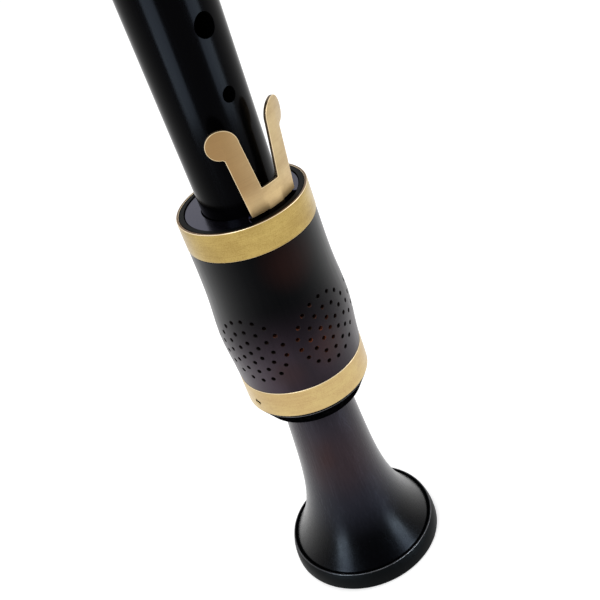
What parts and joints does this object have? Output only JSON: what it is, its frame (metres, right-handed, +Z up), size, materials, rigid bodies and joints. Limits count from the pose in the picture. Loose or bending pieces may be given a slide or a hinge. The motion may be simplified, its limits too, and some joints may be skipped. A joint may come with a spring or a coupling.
{
  "type": "bass recorder",
  "caption": "Long end-blown wooden flute with a blowing cap, finger holes, a brass-ringed pierced barrel over an open-standing swallow-tail key, and a flared bell.",
  "frame": {"origin": "centre of the bell's flat end, on the bore's axis", "axes": "+Z runs up the bore from the bell to the cap; -Y faces the player's audience, the side of the finger holes and the key; the thumb hole faces +Y"},
  "size_m": [0.0828, 0.0824, 1.0151],
  "materials": {
    "stained_wood": "near-black stained hardwood, satin oil finish",
    "disc_wood": "dark grey-violet matte wood",
    "cedar": "plain red cedar, unfinished",
    "brass": "satin brushed brass with bright edges",
    "spring_brass": "hard rolled brass strip",
    "steel": "satin steel",
    "cork": "sheet cork, greased",
    "pad_leather": "soft pale leather"
  },
  "bodies": {
    "foot": {"foot_joint": "stained_wood"},
    "body": {"body_joint": "stained_wood", "foot_tenon_cork": "cork", "head_tenon_cork": "cork", "fontanelle": "stained_wood", "upper_ring": "brass", "lower_ring": "brass", "ring_screw": "brass", "fontanelle_disc": "disc_wood", "touch_saddle": "brass", "flap_saddle": "brass", "touch_axle": "steel", "flap_axle": "steel", "flap_spring": "spring_brass", "touch_screw_lower": "steel", "touch_screw_upper": "steel", "flap_screw_lower": "steel", "flap_screw_upper": "steel"},
    "touch": {"key_touch": "brass"},
    "flap": {"key_flap": "brass", "key_pad": "pad_leather"},
    "head": {"head_joint": "stained_wood", "head_ring": "brass", "block": "cedar", "cap_tenon_cork": "cork"},
    "cap": {"cap": "stained_wood", "cap_ring": "brass"}
  },
  "joints": [
    {"name": "foot_tenon", "type": "slide", "parent": "foot", "child": "body", "axis": [0, 0, 1], "range_m": [0, 0.0275]},
    {"name": "touch_hinge", "type": "hinge", "parent": "body", "child": "touch", "pos_m": [0, -0.02212, 0.208], "axis": [-1, 0, 0], "range_deg": [0, 4.35], "stiffness_Nm_per_rad": 0.6, "springref_deg": -2.86},
    {"name": "flap_hinge", "type": "hinge", "parent": "body", "child": "flap", "pos_m": [0, -0.02032, 0.18], "axis": [1, 0, 0], "range_deg": [0, 7.84], "deforming": ["flap_spring"]},
    {"name": "head_tenon", "type": "slide", "parent": "body", "child": "head", "axis": [0, 0, 1], "range_m": [0, 0.012]},
    {"name": "cap_tenon", "type": "slide", "parent": "head", "child": "cap", "axis": [0, 0, 1], "range_m": [0, 0.035]}
  ],
  "couplings": [
    {"joint": "flap_hinge", "follows": "touch_hinge", "ratio": 1.8}
  ]
}
